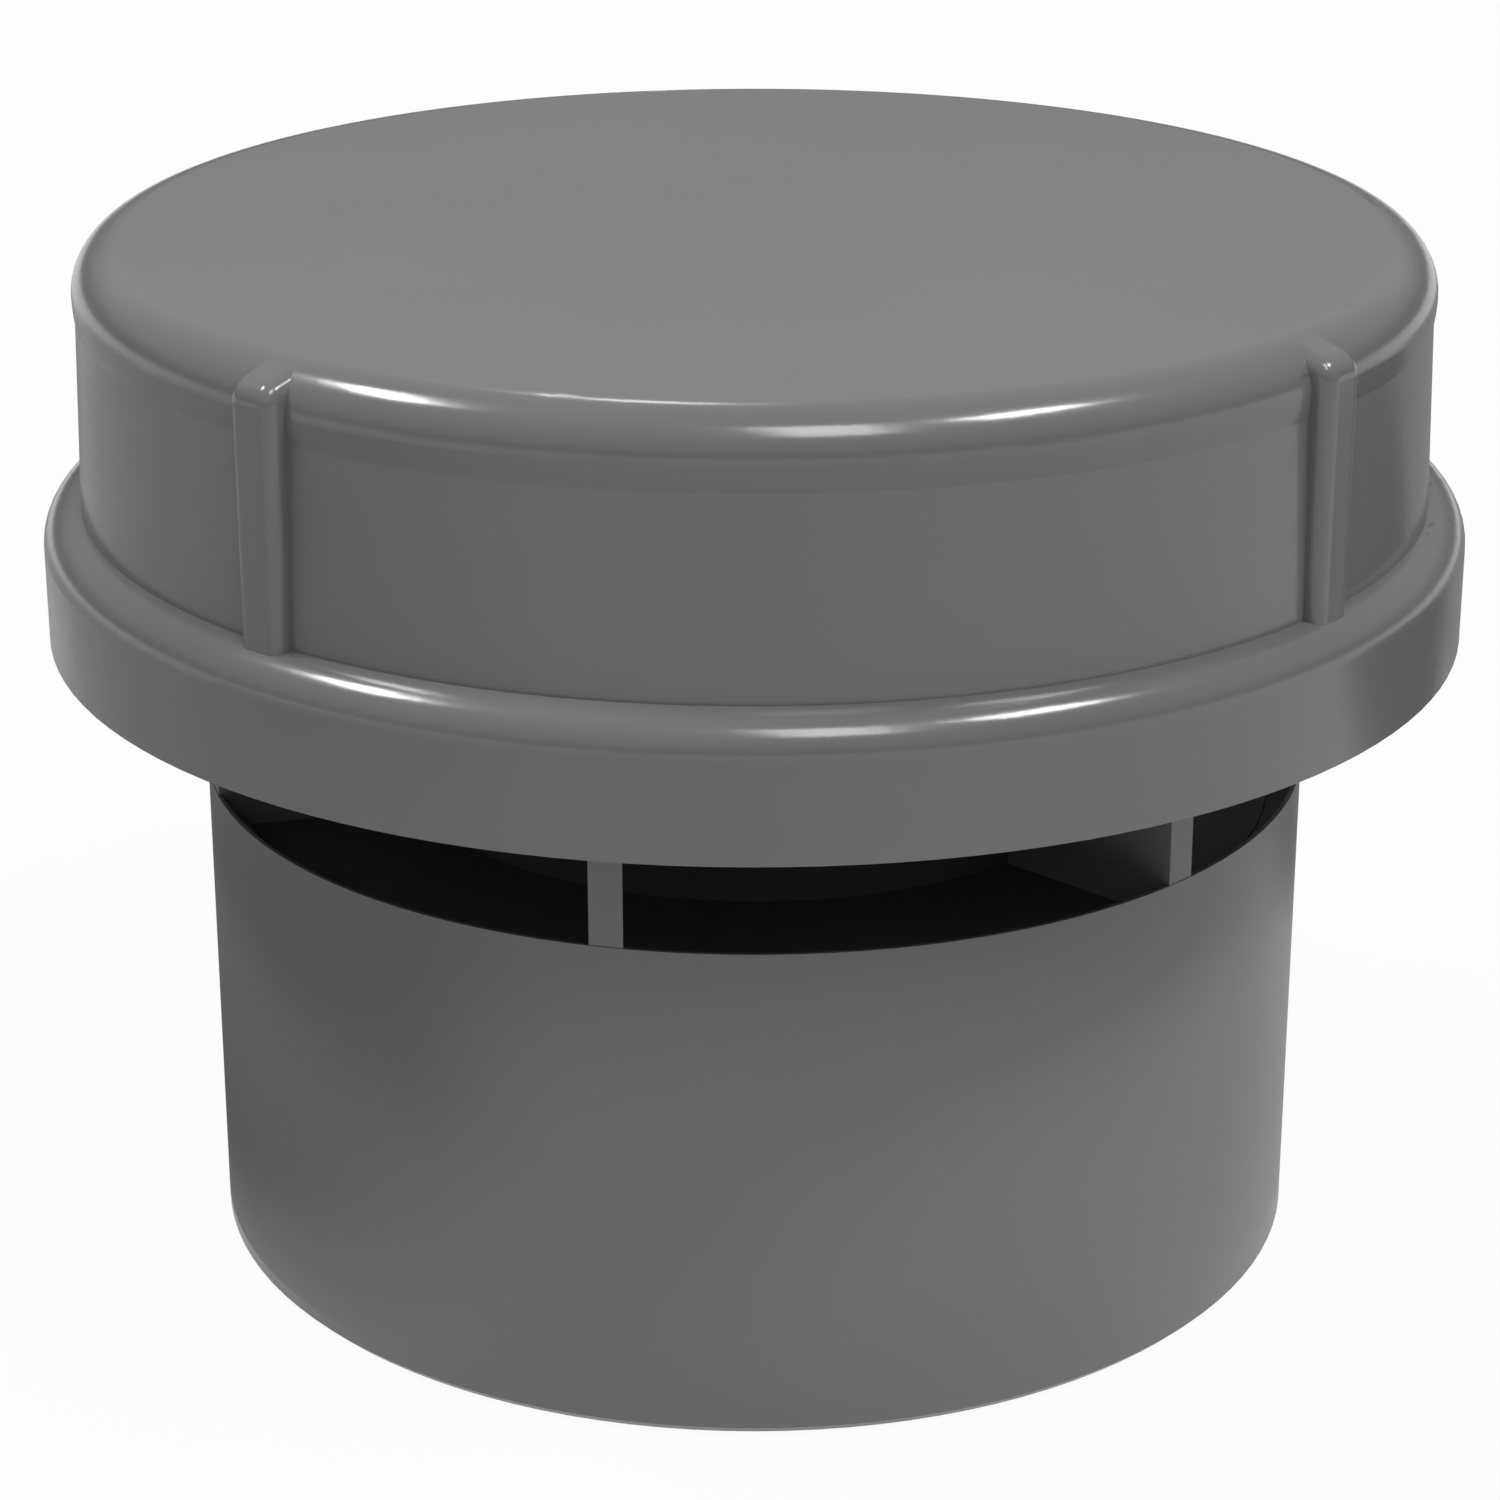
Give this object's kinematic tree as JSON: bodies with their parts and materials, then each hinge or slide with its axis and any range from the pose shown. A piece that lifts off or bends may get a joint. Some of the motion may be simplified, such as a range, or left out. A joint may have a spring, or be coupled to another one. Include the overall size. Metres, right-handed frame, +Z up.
{
  "type": "air admittance valve",
  "caption": "Round air admittance valve for a soil stack: plain spigot, ring of air windows under a ribbed cap, and a flat diaphragm valve inside that lifts under suction and falls shut.",
  "frame": {"origin": "centre of the spigot's lower end", "axes": "+Z up along the stack's axis, from the spigot to the cap; -Y faces the picture's camera"},
  "size_m": [0.1394, 0.1394, 0.1021],
  "materials": {
    "body_plastic": "satin moulded grey plastic",
    "cap_plastic": "glossy moulded grey plastic",
    "insert_plastic": "satin black plastic",
    "valve_plastic": "satin dark grey plastic",
    "rubber": "matte black rubber"
  },
  "bodies": {
    "housing": {"spigot_body": "body_plastic", "seat_insert": "insert_plastic", "cover_cap": "cap_plastic", "cap_gasket": "rubber"},
    "valve": {"valve_disc": "valve_plastic", "diaphragm": "rubber", "clamp_ring": "valve_plastic"}
  },
  "joints": [
    {"name": "valve_lift", "type": "slide", "parent": "housing", "child": "valve", "axis": [0, 0, 1], "range_m": [0, 0.008]}
  ]
}
